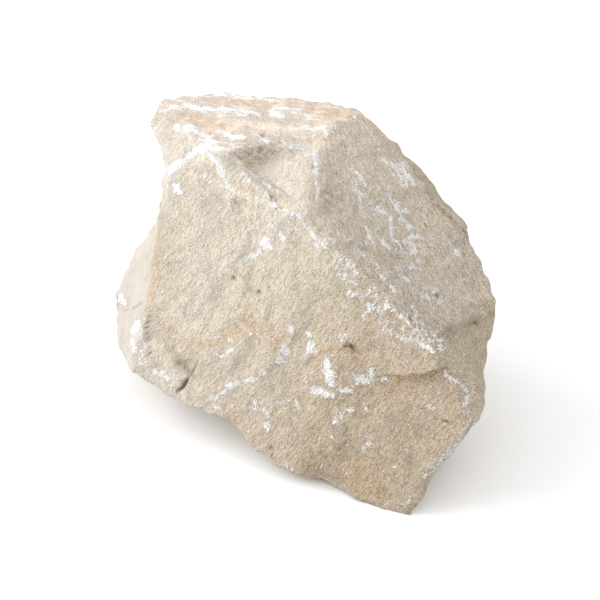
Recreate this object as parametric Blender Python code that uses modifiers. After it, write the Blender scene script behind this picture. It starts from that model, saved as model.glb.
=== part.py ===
"""Rockery stone: one broken block of pale limestone, about 28 cm across, resting on a small flat spot.

The stone is split the way a quarry splits it. Three rough blocks are cut to flat breaks and joined, then
shells of rock are bitten out of the faces and ledges are broken off the back. The joined form is
remeshed, given the uneven relief of broken limestone, thinned and cut flat where it rests.

Metres, +Z up. The origin is in the resting face, straight below the heart of the stone, and -Y is the
front. A direction is a bearing in degrees (0 = front, 90 = the stone's right, +X) and a lean in degrees
(0 = level, 90 = straight up).
"""
import math

import bmesh
import bpy
import numpy as np
from mathutils import Matrix, Vector
from mathutils.bvhtree import BVHTree

HEART = Vector((0.0, 0.0, 0.085))
ROUGH_SIDE = 0.80          # the cube that each block is split from
SINK = 0.012               # how far the rough form reaches below the resting face before it is cut
VOXEL = 0.0025
TRIANGLES = 9400
REACH = 1.0                # longer than any line across the stone
LENS_CLEAR = 0.7           # share of its half thickness by which a biting lens stands clear of the surface
HAIR = 0.0003              # common breaks of joined blocks stand this far apart, so that no two lie in one plane

# Flat breaks, each as bearing, lean and distance from the heart.
COMMON_BREAKS = {
    "front": (-28, 27, 0.053),
    "top": (-120, 87, 0.109),
    "right shoulder": (38, 63.7, 0.0803),
    "bay rim": (20, 69.8, 0.0829),
    "right rim": (98, 48, 0.118),
    "right": (102, -4, 0.118),
    "right foot": (84, -8, 0.134),
    "lower right": (44, 39, 0.118),
    "right back": (126, 5, 0.114),
    "back right": (143, 0, 0.112),
    "back brow": (152, 22, 0.135),
    "back": (158, -6, 0.120),
    "back corner": (-165, 12, 0.186),
    "back left": (-128, -4, 0.160),
    "crown back": (-150, 20, 0.196),
    "crown left": (-77, 36, 0.117),
    "crown front": (-73, 50, 0.1155),
    "under right": (64, -28, 0.151),
    "under toe": (-37, -56, 0.111),
    "under left": (-58, -61, 0.0962),
    "left heel": (-128, -29, 0.161),
    "back heel": (172, -24, 0.134),
    "under back": (166, -46, 0.118),
    "right heel": (120, -20, 0.116),
    "under back right": (108, -44, 0.104),
    "rest": (0, -90, HEART.z + SINK),
}
# The body ends in a waist on its left, the crown hangs over that waist, and the slab steps out below it.
BODY_BREAKS = {
    "waist": (-89, 13, 0.110),
    "left foot": (-105, -45, 0.105),
}
CROWN_BREAKS = {
    "overhang": (-79, -30, 0.035),
    "crown foot": (-105, -45, 0.140),
}
SLAB_BREAKS = {
    "slab": (-74, 20, 0.103),
    "slab back": (-155, 42, 0.084),
    "slab shoulder": (-135, 24, 0.125),
    "slab edge": (-80, -11, 0.140),
    "slab lip": (-62, -14, 0.138),
    "under slab": (-100, -50, 0.140),
}

# Shells bitten out of the surface: bearing and lean of the line from the heart to the middle of the bite,
# bearing and lean that the bite faces, its length, width and depth, and its turn about its own middle.
BITES = {
    "under left chip": (-45, -45, -50, -50, 0.060, 0.050, 0.008, 0),
    "lower right hollow": (57, 2, 62, 36, 0.074, 0.050, 0.008, 70),
    "toe hollow": (8, -32, -25, -12, 0.050, 0.036, 0.009, 20),
    "slab tip notch": (-111, -14, -95, 5, 0.018, 0.016, 0.004, 0),
    "back hollow": (160, 8, 156, 4, 0.150, 0.100, 0.012, 15),
    "back foot hollow": (-176, -24, 178, -24, 0.110, 0.060, 0.009, -20),
    "back left hollow": (-130, 2, -126, 6, 0.120, 0.080, 0.012, 30),
    "right back hollow": (118, -6, 118, -2, 0.090, 0.064, 0.009, -30),
    "right heel chip": (112, -28, 112, -34, 0.060, 0.036, 0.006, 25),
    "left heel chip": (-142, -22, -140, -20, 0.070, 0.040, 0.008, -15),
}
# Ledges: rock is missing where a point lies beyond all breaks of the ledge.
LEDGES = {
    "bay": ((-15, 72.1, 0.0836), (9, 27, 0.0135), (121, 40, 0.0475)),
    "lower front ledge": ((-21, 25, 0.061), (9, -57, 0.059)),
    "back ledge": ((142, -58, 0.030), (170, -16, 0.106)),
    "right ledge": ((80, -60, 0.056), (115, -14, 0.108)),
}

# Uneven relief: size of its lumps, how far they stand in or out, and the number of its pattern. The
# stone broke rougher towards its back.
RELIEF = (
    (0.046, 0.0028, 3),
    (0.021, 0.0015, 5),
    (0.010, 0.0008, 8),
)
BACK_ROUGHER = 1.3         # how much is added to the relief at the back, as a share of the relief
BACK_STARTS = 0.02         # Y where the rougher rock starts
BACK_FULL = 0.10           # Y where it is at its full roughness

LIMESTONE = (0.62, 0.52, 0.41, 1.0)


def clear_scene():
    """Empty the file of its starting objects."""
    for thing in list(bpy.data.objects):
        bpy.data.objects.remove(thing, do_unlink=True)


def make_collection(name):
    """Add a collection to the scene."""
    collection = bpy.data.collections.new(name)
    bpy.context.scene.collection.children.link(collection)
    return collection


def facing(bearing, lean):
    """Unit vector for a bearing and a lean."""
    turn, tip = math.radians(bearing), math.radians(lean)
    return Vector((math.cos(tip) * math.sin(turn), -math.cos(tip) * math.cos(turn), math.sin(tip)))


def split(solid, toward, distance, keep_inner=True):
    """Break a solid along a plane across a direction from the heart, and close the break."""
    geometry = solid.verts[:] + solid.edges[:] + solid.faces[:]
    cut = bmesh.ops.bisect_plane(
        solid, geom=geometry, dist=1e-6, plane_co=HEART + toward * distance, plane_no=toward,
        clear_outer=keep_inner, clear_inner=not keep_inner)
    rim = [item for item in cut["geom_cut"] if isinstance(item, bmesh.types.BMEdge)]
    if rim:
        bmesh.ops.contextual_create(solid, geom=rim)


def rough_cube():
    """The cube of rock that a block or a ledge is split from."""
    solid = bmesh.new()
    bmesh.ops.create_cube(solid, size=ROUGH_SIDE, matrix=Matrix.Translation(HEART))
    return solid


def new_object(name, solid, collection):
    """Turn a bmesh into an object."""
    bmesh.ops.recalc_face_normals(solid, faces=solid.faces[:])
    mesh = bpy.data.meshes.new(name)
    solid.to_mesh(mesh)
    solid.free()
    thing = bpy.data.objects.new(name, mesh)
    collection.objects.link(thing)
    return thing


def broken_block(name, own_breaks, inset, collection):
    """A convex block: a rough cube split along the common breaks, set in by a hair, and along its own."""
    solid = rough_cube()
    for bearing, lean, distance in COMMON_BREAKS.values():
        split(solid, facing(bearing, lean), distance - inset)
    for bearing, lean, distance in own_breaks.values():
        split(solid, facing(bearing, lean), distance)
    return new_object(name, solid, collection)


def ledge_cutter(name, breaks, collection):
    """The rock that a ledge is missing: what lies beyond all of its breaks."""
    solid = rough_cube()
    for bearing, lean, distance in breaks:
        split(solid, facing(bearing, lean), distance, keep_inner=False)
    return new_object(name, solid, collection)


def bite_cutter(name, surface, bite, collection):
    """A lens that bites a shell of rock out of the surface where a line from the heart meets it."""
    bearing, lean, face_bearing, face_lean, length, width, depth, turn = bite
    line = facing(bearing, lean)
    middle = surface.ray_cast(HEART + line * REACH, -line)[0]
    outward = facing(face_bearing, face_lean)
    across = Vector((0, 0, 1)).cross(outward).normalized()
    frame = Matrix((across, outward.cross(across), outward)).transposed().to_4x4()
    mouth = 2 * math.sqrt(1 - LENS_CLEAR ** 2)
    thickness = depth / (1 - LENS_CLEAR)
    size = Matrix.Diagonal((length / mouth, width / mouth, thickness, 1))
    place = Matrix.Translation(middle + outward * thickness * LENS_CLEAR)
    solid = bmesh.new()
    bmesh.ops.create_icosphere(
        solid, subdivisions=4, radius=1.0,
        matrix=place @ frame @ Matrix.Rotation(math.radians(turn), 4, "Z") @ size)
    return new_object(name, solid, collection)


def set_aside(cutter):
    """Mark a cutter as a helper that is no part of the stone."""
    cutter.hide_render = True
    cutter.display_type = "WIRE"


def combine(target, helper, operation):
    """Add a Boolean of a helper to the target."""
    boolean = target.modifiers.new(helper.name, "BOOLEAN")
    boolean.operation = operation
    boolean.solver = "EXACT"
    boolean.object = helper
    set_aside(helper)


def settle(thing):
    """Replace a mesh by what its modifiers make of it."""
    depsgraph = bpy.context.evaluated_depsgraph_get()
    mesh = bpy.data.meshes.new_from_object(thing.evaluated_get(depsgraph))
    thing.modifiers.clear()
    thing.data = mesh


def lattice(corner, seed):
    """A fixed value from -1 to 1 for each whole-number corner: its three numbers mixed and folded."""
    x, y, z = (corner[:, axis].astype(np.uint32) for axis in range(3))
    mixed = x * np.uint32(374761393) + y * np.uint32(668265263) + z * np.uint32(2246822519)
    mixed = mixed + np.uint32(seed * 1013904223 % 2 ** 32)
    mixed = (mixed ^ (mixed >> np.uint32(13))) * np.uint32(1274126177)
    mixed = mixed ^ (mixed >> np.uint32(16))
    return (mixed & np.uint32(65535)) / 32767.5 - 1


def lumps(points, size, seed):
    """Smooth lumps: the values of the eight corners round each point, blended along the three axes."""
    scaled = points / size
    cell = np.floor(scaled).astype(np.int64)
    part = scaled - cell
    part = part * part * (3 - 2 * part)
    total = np.zeros(len(points))
    for corner in np.ndindex(2, 2, 2):
        weight = np.prod(np.where(np.array(corner), part, 1 - part), axis=1)
        total += weight * lattice(cell + np.array(corner), seed)
    return total


def roughen(thing):
    """Move the surface in and out along lines from the heart by the sum of the relief's lumps."""
    mesh = thing.data
    flat = np.empty(3 * len(mesh.vertices))
    mesh.vertices.foreach_get("co", flat)
    points = flat.reshape(-1, 3)
    spokes = points - np.array(HEART)
    spokes /= np.linalg.norm(spokes, axis=1)[:, None]
    height = sum(depth * lumps(points, size, seed) for size, depth, seed in RELIEF)
    backness = np.clip((points[:, 1] - BACK_STARTS) / (BACK_FULL - BACK_STARTS), 0, 1)
    height *= 1 + BACK_ROUGHER * backness
    moved = points + spokes * height[:, None]
    mesh.vertices.foreach_set("co", moved.ravel())
    mesh.update()


def thin_out(thing):
    """Bring the mesh down to the wanted number of triangles, which leaves small broken facets."""
    triangles = sum(len(face.vertices) - 2 for face in thing.data.polygons)
    decimate = thing.modifiers.new("thin out", "DECIMATE")
    decimate.ratio = TRIANGLES / triangles
    settle(thing)


def cut_rest(thing):
    """Cut the stone level where it rests."""
    solid = bmesh.new()
    solid.from_mesh(thing.data)
    split(solid, Vector((0, 0, -1)), HEART.z)
    bmesh.ops.triangulate(solid, faces=[face for face in solid.faces if len(face.verts) > 4])
    solid.to_mesh(thing.data)
    solid.free()


def limestone():
    """Pale, dull limestone."""
    material = bpy.data.materials.new("limestone")
    material.use_nodes = True
    shader = material.node_tree.nodes["Principled BSDF"]
    shader.inputs["Base Color"].default_value = LIMESTONE
    shader.inputs["Roughness"].default_value = 0.9
    shader.inputs["Metallic"].default_value = 0.0
    material.diffuse_color = LIMESTONE
    return material


def build_stone():
    """The whole stone."""
    parts = make_collection("rockery stone")
    helpers = make_collection("helpers")
    stone = broken_block("stone", BODY_BREAKS, 0, parts)
    crown = broken_block("crown", CROWN_BREAKS, HAIR, helpers)
    slab = broken_block("slab block", SLAB_BREAKS, 2 * HAIR, helpers)
    combine(stone, crown, "UNION")
    combine(stone, slab, "UNION")
    settle(stone)
    surface = BVHTree.FromObject(stone, bpy.context.evaluated_depsgraph_get())
    for name, breaks in LEDGES.items():
        combine(stone, ledge_cutter(name, breaks, helpers), "DIFFERENCE")
    for name, bite in BITES.items():
        combine(stone, bite_cutter(name, surface, bite, helpers), "DIFFERENCE")
    settle(stone)
    remesh = stone.modifiers.new("even skin", "REMESH")
    remesh.mode = "VOXEL"
    remesh.voxel_size = VOXEL
    settle(stone)
    roughen(stone)
    thin_out(stone)
    cut_rest(stone)
    stone.data.materials.append(limestone())
    return stone


def main():
    clear_scene()
    build_stone()


main()
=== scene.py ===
# %% [markdown]
# # A rockery stone of pale limestone
#
# This notebook dresses one broken block of limestone. Its solid form is fixed: it is loaded as a frame,
# with its resting face at Z = 0 and its front towards -Y. What is made here is the skin that is seen: the
# uneven relief of the breaks, the grain, the white calcite scars, the ochre stains and the fine cracks.
#
# Every length is in metres unless a name says millimetres. A direction is a bearing in degrees (0 = front,
# 90 = the stone's right) and a lean in degrees (0 = level, 90 = straight up).

# %% Load the fixed frame
import math

import bpy
import numpy as np
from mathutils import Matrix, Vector


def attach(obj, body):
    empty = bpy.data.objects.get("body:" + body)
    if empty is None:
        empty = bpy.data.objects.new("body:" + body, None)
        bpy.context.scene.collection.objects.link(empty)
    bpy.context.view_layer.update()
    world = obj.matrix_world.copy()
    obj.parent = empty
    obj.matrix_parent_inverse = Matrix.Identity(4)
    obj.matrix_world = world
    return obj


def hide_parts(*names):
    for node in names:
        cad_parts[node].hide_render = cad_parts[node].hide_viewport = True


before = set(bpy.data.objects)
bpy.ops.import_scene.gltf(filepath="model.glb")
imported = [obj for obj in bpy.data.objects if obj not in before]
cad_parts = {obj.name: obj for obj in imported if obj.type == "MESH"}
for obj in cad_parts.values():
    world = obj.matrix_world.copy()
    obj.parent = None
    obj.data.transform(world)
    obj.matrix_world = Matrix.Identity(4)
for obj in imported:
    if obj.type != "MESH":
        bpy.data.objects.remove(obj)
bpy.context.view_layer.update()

# %% [markdown]
# ## The camera
#
# A stone is best seen a little from above, so that its top break and its front break both show. The camera
# could be aimed with a Track To constraint, but a single lean angle is all that a view from the front
# needs, so its place and its tilt are worked out from that angle. The same angle gives the "front view",
# a flat sheet in millimetres in which marks on the seen side are placed further down.

# %% Set up the camera
VIEW_LEAN = math.radians(30)
VIEW_DISTANCE = 1.02
LOOK_AT = np.array([0.0, -0.010, 0.090])
VIEW_BACK = np.array([0.0, -math.cos(VIEW_LEAN), math.sin(VIEW_LEAN)])
VIEW_UP = np.array([0.0, math.sin(VIEW_LEAN), math.cos(VIEW_LEAN)])
EYE = LOOK_AT + VIEW_BACK * VIEW_DISTANCE
MILLIMETRE = 0.001


def set_up_camera():
    """A camera with a long lens, tipped down by the view's lean."""
    lens = bpy.data.cameras.new("camera")
    lens.lens = 85
    camera = bpy.data.objects.new("camera", lens)
    camera.location = EYE
    camera.rotation_euler = (math.pi / 2 - VIEW_LEAN, 0, 0)
    bpy.context.scene.collection.objects.link(camera)
    bpy.context.scene.camera = camera


def front_view(points):
    """Millimetres right of and above the middle of the front view: a point's offset from the middle along
    the view's right and up, shrunk by how much farther than the middle the point lies."""
    offset = points - LOOK_AT
    nearness = VIEW_DISTANCE / (VIEW_DISTANCE - offset @ VIEW_BACK)
    across = offset[:, 0] * nearness
    up = (offset @ VIEW_UP) * nearness
    return np.stack([across, up], axis=1) / MILLIMETRE


set_up_camera()
print("camera at", EYE.round(3), "looking down by", round(math.degrees(VIEW_LEAN)), "degrees")

# %% [markdown]
# ## Lumps
#
# Broken limestone is uneven at every scale. Blender has noise textures for that, but a pattern that moves
# the surface has to be the same wherever it is read, so it is worked out here as value noise: every corner
# of a lattice has a fixed value, and a point blends the values of the eight corners round it.

# %% Value noise on whole arrays


def lattice(corner, seed):
    """A fixed value from -1 to 1 for each whole-number corner: its three numbers mixed and folded."""
    x, y, z = (corner[:, axis].astype(np.uint32) for axis in range(3))
    mixed = x * np.uint32(374761393) + y * np.uint32(668265263) + z * np.uint32(2246822519)
    mixed = mixed + np.uint32(seed * 1013904223 % 2 ** 32)
    mixed = (mixed ^ (mixed >> np.uint32(13))) * np.uint32(1274126177)
    mixed = mixed ^ (mixed >> np.uint32(16))
    return (mixed & np.uint32(65535)) / 32767.5 - 1


def lumps(points, size, seed):
    """Smooth lumps: the values of the eight corners round each point, blended along the three axes."""
    scaled = points / size
    cell = np.floor(scaled).astype(np.int64)
    part = scaled - cell
    part = part * part * (3 - 2 * part)
    total = np.zeros(len(points))
    for corner in np.ndindex(2, 2, 2):
        weight = np.prod(np.where(np.array(corner), part, 1 - part), axis=1)
        total += weight * lattice(cell + np.array(corner), seed)
    return total


print("lumps at three points:", lumps(np.array([[0, 0, 0], [0.01, 0, 0], [0, 0.02, 0.03]]), 0.02, 1).round(2))

# %% [markdown]
# ## The breaks
#
# Rock splits along flat breaks, so the stone's form is a short list of planes: which way each faces and how
# far it lies from the heart of the stone. It could be cut from a cube with bisections, as the solid was.
# The skin needs to know at every point which break it belongs to, so here each break is a formula: seen
# from the heart, a spoke meets a plane at the plane's distance over the cosine of the angle between them.

# %% The breaks of the stone
HEART = np.array([0.0, 0.0, 0.085])
FAR = 9.0

COMMON_BREAKS = {
    "front": (-28, 27, 0.053),
    "top": (-120, 87, 0.109),
    "right shoulder": (38, 63.7, 0.0803),
    "bay rim": (20, 69.8, 0.0829),
    "right rim": (98, 48, 0.118),
    "right": (102, -4, 0.118),
    "right foot": (84, -8, 0.134),
    "lower right": (44, 39, 0.118),
    "right back": (126, 5, 0.114),
    "back right": (143, 0, 0.112),
    "back brow": (152, 22, 0.135),
    "back": (158, -6, 0.120),
    "back corner": (-165, 12, 0.186),
    "back left": (-128, -4, 0.160),
    "crown back": (-150, 20, 0.196),
    "crown left": (-77, 36, 0.117),
    "crown front": (-73, 50, 0.1155),
    "under right": (64, -28, 0.151),
    "under toe": (-37, -56, 0.111),
    "under left": (-58, -61, 0.0962),
    "left heel": (-128, -29, 0.161),
    "back heel": (172, -24, 0.134),
    "under back": (166, -46, 0.118),
    "right heel": (120, -20, 0.116),
    "under back right": (108, -44, 0.104),
}
BODY_BREAKS = {
    "waist": (-89, 13, 0.110),
    "left foot": (-105, -45, 0.105),
}
CROWN_BREAKS = {
    "overhang": (-79, -30, 0.035),
    "crown foot": (-105, -45, 0.140),
}
SLAB_BREAKS = {
    "slab": (-74, 20, 0.103),
    "slab back": (-155, 42, 0.084),
    "slab shoulder": (-135, 24, 0.125),
    "slab edge": (-80, -11, 0.140),
    "slab lip": (-62, -14, 0.138),
    "under slab": (-100, -50, 0.140),
}
LEDGES = {
    "bay": ((-15, 72.1, 0.0836), (9, 27, 0.0135), (121, 40, 0.0475)),
    "lower front ledge": ((-21, 25, 0.061), (9, -57, 0.059)),
    "back ledge": ((142, -58, 0.030), (170, -16, 0.106)),
    "right ledge": ((80, -60, 0.056), (115, -14, 0.108)),
}


def facing(bearing, lean):
    """Unit vector for a bearing and a lean."""
    turn, tip = math.radians(bearing), math.radians(lean)
    return np.array([math.cos(tip) * math.sin(turn), -math.cos(tip) * math.cos(turn), math.sin(tip)])


def meets(spokes, flat_break):
    """How far each spoke runs to a break: the break's distance over the cosine between the two. A spoke
    that leans away from the break never meets it."""
    bearing, lean, distance = flat_break
    cosine = spokes @ facing(bearing, lean)
    return np.where(cosine > distance / FAR, distance / np.maximum(cosine, distance / FAR), FAR)


print(len(COMMON_BREAKS) + len(BODY_BREAKS) + len(CROWN_BREAKS) + len(SLAB_BREAKS), "breaks,",
      len(LEDGES), "ledges")

# %% [markdown]
# ## Joining the breaks
#
# The stone ends where a spoke meets the first of its breaks. A plain minimum would leave edges like cut
# glass, so the least is taken softly, which wears each edge by less than half a millimetre. The body, the
# crown and the slab are three blocks that share the common breaks, and the farthest of the three counts. A
# ledge is missing rock: a spoke stops there once it has passed all of its breaks.

# %% How far the rough stone reaches
EDGE_WEAR = 0.0005


def soft_least(reaches):
    """The least of several reaches with its edges worn: minus the wear times the logarithm of the sum of
    exponentials of each reach over minus the wear."""
    return -EDGE_WEAR * np.logaddexp.reduce([-reach / EDGE_WEAR for reach in reaches])


def rough_reach(spokes):
    """How far each spoke runs in the joined blocks, before any ledge or bite."""
    common = [meets(spokes, flat_break) for flat_break in COMMON_BREAKS.values()]
    blocks = []
    for own_breaks in (BODY_BREAKS, CROWN_BREAKS, SLAB_BREAKS):
        own = [meets(spokes, flat_break) for flat_break in own_breaks.values()]
        blocks.append(soft_least(common + own))
    return np.maximum.reduce(blocks)


def ledged_reach(spokes):
    """How far each spoke runs once the ledges are broken off."""
    reach = rough_reach(spokes)
    for breaks in LEDGES.values():
        reach = soft_least([reach, np.maximum.reduce([meets(spokes, flat_break) for flat_break in breaks])])
    return reach


print("reach to the front, right, back and left:",
      ledged_reach(np.array([facing(bearing, 0) for bearing in (0, 90, 180, -90)])).round(3))

# %% [markdown]
# ## The bites
#
# A blow knocks a shell of rock out of a face and leaves a shallow hollow. Sculpting could make these, but a
# lens is the same shape every time and is easy to place: its middle stands clear of the surface, and only
# its lowest part bites. A spoke stops where it enters the lens, which is the smaller root of a quadratic.

# %% Shells bitten out of the faces
LENS_CLEAR = 0.7
# Bearing and lean of the spoke to the middle, bearing and lean faced, length, width, depth, turn.
BITES = {
    "under left chip": (-45, -45, -50, -50, 0.060, 0.050, 0.008, 0),
    "lower right hollow": (57, 2, 62, 36, 0.074, 0.050, 0.008, 70),
    "toe hollow": (8, -32, -25, -12, 0.050, 0.036, 0.009, 20),
    "slab tip notch": (-111, -14, -95, 5, 0.018, 0.016, 0.004, 0),
    "back hollow": (160, 8, 156, 4, 0.150, 0.100, 0.012, 15),
    "back foot hollow": (-176, -24, 178, -24, 0.110, 0.060, 0.009, -20),
    "back left hollow": (-130, 2, -126, 6, 0.120, 0.080, 0.012, 30),
    "right back hollow": (118, -6, 118, -2, 0.090, 0.064, 0.009, -30),
    "right heel chip": (112, -28, 112, -34, 0.060, 0.036, 0.006, 25),
    "left heel chip": (-142, -22, -140, -20, 0.070, 0.040, 0.008, -15),
}


def lens_axes(bearing, lean, turn):
    """The three axes of a lens, one a row: along its length, along its width, and outward. Length and width
    start level and square to the way faced, and turn about it."""
    outward = facing(bearing, lean)
    level = np.cross([0, 0, 1], outward)
    level /= np.linalg.norm(level)
    square = np.cross(outward, level)
    angle = math.radians(turn)
    along = level * math.cos(angle) + square * math.sin(angle)
    return np.array([along, np.cross(outward, along), outward])


def bitten_reach(spokes, reach, bite):
    """The reach cut short by a lens: in units of the lens's half sizes it is a ball of radius 1, and the
    spoke enters it at the smaller root of (start + t * way)^2 = 1."""
    bearing, lean, face_bearing, face_lean, length, width, depth, turn = bite
    line = facing(bearing, lean)
    thickness = depth / (1 - LENS_CLEAR)
    mouth = 2 * math.sqrt(1 - LENS_CLEAR ** 2)
    axes = lens_axes(face_bearing, face_lean, turn)
    middle = line * rough_reach(line[None])[0] + axes[2] * thickness * LENS_CLEAR
    half = np.array([length / mouth, width / mouth, thickness])
    start = -(axes @ middle) / half
    way = spokes @ axes.T / half
    a = (way * way).sum(axis=1)
    b = way @ start
    inside = b * b - a * (start @ start - 1)
    enters = np.where((inside > 0) & (b < 0), (-b - np.sqrt(np.maximum(inside, 0))) / a, FAR)
    return soft_least([reach, enters])


def stone_reach(spokes):
    """How far each spoke runs in the finished form: blocks, ledges and bites."""
    reach = ledged_reach(spokes)
    for bite in BITES.values():
        reach = bitten_reach(spokes, reach, bite)
    return reach


print(len(BITES), "bites; the deepest is", 1000 * max(bite[6] for bite in BITES.values()), "mm")

# %% [markdown]
# ## A grid of spokes
#
# The skin needs a closed grid of spokes, evenly spread and with no pole. A UV sphere bunches its faces at
# two poles and an icosphere can't be indexed by two numbers, so the grid is a cube blown up to a ball: on
# each side of the cube, two parameters run from -1 to 1, and the tangent of an eighth of a turn times each
# keeps the angles between neighbours equal. The corners are whole numbers, so the six sides share theirs.
# Last, the spokes are drawn a little towards the camera, where finer points show.

# %% The closed grid
STEPS = 128
CLOSER_IN_FRONT = 0.25


def cube_sphere(steps):
    """Spokes and four-sided faces. A corner of the cube has three whole numbers from 0 to steps, at least
    one of which is 0 or steps; its spoke is their tangents, made one long."""
    first, second = np.meshgrid(np.arange(steps + 1), np.arange(steps + 1), indexing="ij")
    first, second = first.ravel(), second.ravel()
    corners, quads = [], []
    quad = (np.arange(steps)[:, None] * (steps + 1) + np.arange(steps)).ravel()
    quad = np.stack([quad, quad + steps + 1, quad + steps + 2, quad + 1], axis=1)
    for axis in range(3):
        for level in (0, steps):
            side = np.empty((len(first), 3), dtype=np.int64)
            side[:, axis] = level
            side[:, (axis + 1) % 3] = first
            side[:, (axis + 2) % 3] = second
            turned = quad if level else quad[:, ::-1]
            quads.append(turned + len(corners) * len(first))
            corners.append(side)
    joined, place = np.unique(np.concatenate(corners), axis=0, return_inverse=True)
    spokes = np.tan((2 * joined / steps - 1) * math.pi / 4)
    spokes = spokes / np.linalg.norm(spokes, axis=1)[:, None] + CLOSER_IN_FRONT * VIEW_BACK
    spokes /= np.linalg.norm(spokes, axis=1)[:, None]
    return spokes, place.ravel()[np.concatenate(quads)]


spokes, faces = cube_sphere(STEPS)
print(len(spokes), "spokes,", len(faces), "faces")

# %% [markdown]
# ## Relief
#
# No break is truly flat. Large lumps bend it, smaller ones roughen it, and the front carries a grain that
# is combed one way, as sandpaper rubbed along one line. Displace modifiers could make each of these, but
# every break has its own mix of them, so here the relief is a sum of lumps, each weighed by how nearly a
# given break is the surface.

# %% Lumps in and out: size of the lumps, how far they stand in or out, and the number of their pattern
RELIEF = ((0.046, 0.0028, 3), (0.021, 0.0015, 5), (0.010, 0.0008, 8))
BACK_ROUGHER, BACK_STARTS, BACK_FULL = 1.3, 0.02, 0.10
SLAB_EVENER = 0.6
SHARE_FADES = 0.0018
ALL_BREAKS = {**COMMON_BREAKS, **BODY_BREAKS, **CROWN_BREAKS, **SLAB_BREAKS,
              "lower front": LEDGES["lower front ledge"][0],
              "bay floor": LEDGES["bay"][0], "bay end": LEDGES["bay"][2]}


def share(spokes, reach, name):
    """How nearly one break is the surface: 1 where the spokes end on it, and less by a falling exponential
    of the length by which they miss it."""
    return np.exp(-np.abs(meets(spokes, ALL_BREAKS[name]) - reach) / SHARE_FADES)


def backness(points):
    """0 at the front of the stone and 1 at its back, where it broke rougher."""
    return np.clip((points[:, 1] - BACK_STARTS) / (BACK_FULL - BACK_STARTS), 0, 1)


planar_reach = ledged_reach(spokes)
shares = {name: share(spokes, planar_reach, name)
          for name in ("lower front", "top", "right shoulder", "bay rim", "bay floor", "bay end",
                       "slab", "crown front", "crown left")}
reach = stone_reach(spokes)
form = HEART + spokes * reach[:, None]
relief = sum(depth * lumps(form, size, seed) for size, depth, seed in RELIEF)
relief *= 1 + BACK_ROUGHER * backness(form)
relief *= 1 - SLAB_EVENER * shares["slab"]
print("relief from", round(1000 * relief.min(), 1), "to", round(1000 * relief.max(), 1), "mm")

# %% [markdown]
# ## Grain and wandering edges
#
# An edge between two breaks wanders, because the rock tore and didn't saw. Moving every point a little
# sideways by a lumpy amount bends the edges and leaves the flats flat. The grain is the same lumps drawn
# out along one direction: squeezing the points along it before the lumps are read stretches the pattern.

# %% Grain, and points moved sideways
WANDER = ((0.026, 0.0019, 21), (0.011, 0.0014, 31), (0.005, 0.0009, 35))
GRAIN = ((0.0090, 0.00050, 41), (0.0052, 0.00042, 42), (0.0032, 0.00034, 43))
GRAIN_ALONG = np.array([0.60, 0.16, 0.78])
GRAIN_STRETCH = 2.2
SLAB_FINER, CROWN_FINER = 0.75, 0.3


def combed(points, size, seed):
    """Lumps drawn out along the grain: the part of each point that lies along it is divided by the
    stretch."""
    along = GRAIN_ALONG / np.linalg.norm(GRAIN_ALONG)
    squeezed = points - np.outer(points @ along, along) * (1 - 1 / GRAIN_STRETCH)
    return lumps(squeezed, size, seed)


def wander(points):
    """A lumpy sideways step for each point: three sums of lumps, one for each axis."""
    steps = [sum(depth * lumps(points, size, seed + axis) for size, depth, seed in WANDER)
             for axis in range(3)]
    return np.stack(steps, axis=1)


grain = sum(depth * combed(form, size, seed) for size, depth, seed in GRAIN)
grain *= 1 - SLAB_FINER * shares["slab"] - CROWN_FINER * shares["crown left"]
skin = HEART + spokes * (reach + relief + grain)[:, None] + wander(form)
print("grain from", round(1000 * grain.min(), 2), "to", round(1000 * grain.max(), 2), "mm")

# %% [markdown]
# ## Where the marks are
#
# When the block was struck, calcite in it was crushed and left white scars, mostly along edges and where
# shells broke out. Water has left ochre stains. They could be painted by hand in Texture Paint, but a
# short stroke in numbers is easier to read and to change: each row is a stroke's half width and then its
# points, in millimetres right of and above the middle of the front view.

# %% White scars on the seen side
CROWN_SCARS = (
    (2.6, (-89.3, 124.6), (-80.6, 123.8), (-74.2, 121)),
    (5, (-69.8, 118.1), (-62.6, 112.3)),
    (2.9, (-93.6, 92.9), (-85, 99.4), (-74.9, 106.6), (-67.7, 109.4)),
    (2.4, (-64.8, 104.4), (-59, 98.6), (-55.4, 90.7)),
    (1.3, (-54.7, 92.9), (-52.6, 80.6)),
    (3.3, (-89.3, 82.1), (-87.1, 77.8)),
    (2.4, (-56.2, 121.7), (-49.7, 116.6), (-41, 118.1)),
    (1.4, (-36, 121), (-27.4, 116.6), (-21.6, 113)),
    (1, (-41.8, 111.6), (-34.6, 110.9)),
    (2.2, (-83.5, 141.1), (-72, 137.5), (-63.4, 137.5)),
    (2.3, (-56.2, 138.2), (-43.2, 136.1), (-30.2, 133.2)),
    (3.2, (-20.2, 134.6), (-13.7, 131)),
    (1.7, (-18, 139), (-7.2, 136.8), (-1.4, 136.1)),
    (1.6, (-77.8, 145.4), (-61.2, 149), (-36, 146.2)),
    (1.3, (-100.8, 135.4), (-92.2, 139), (-84.2, 138.2)),
    (1.3, (-12.2, 115.2), (-8.6, 110.2), (2.2, 109.4), (10.1, 105.8)),
    (2.4, (10.8, 105), (10.8, 90.7)),
    (1.5, (10.8, 88), (13, 79), (11.5, 72)),
    (1.3, (1.4, 125.3), (8.6, 123.1), (21.6, 124.6)),
    (1.6, (18.7, 121.7), (20.2, 116.6)),
    (1.2, (32.4, 129.6), (38.9, 131.8)),
    (0.9, (3.6, 133.9), (7.9, 130.3)),
)
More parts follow.
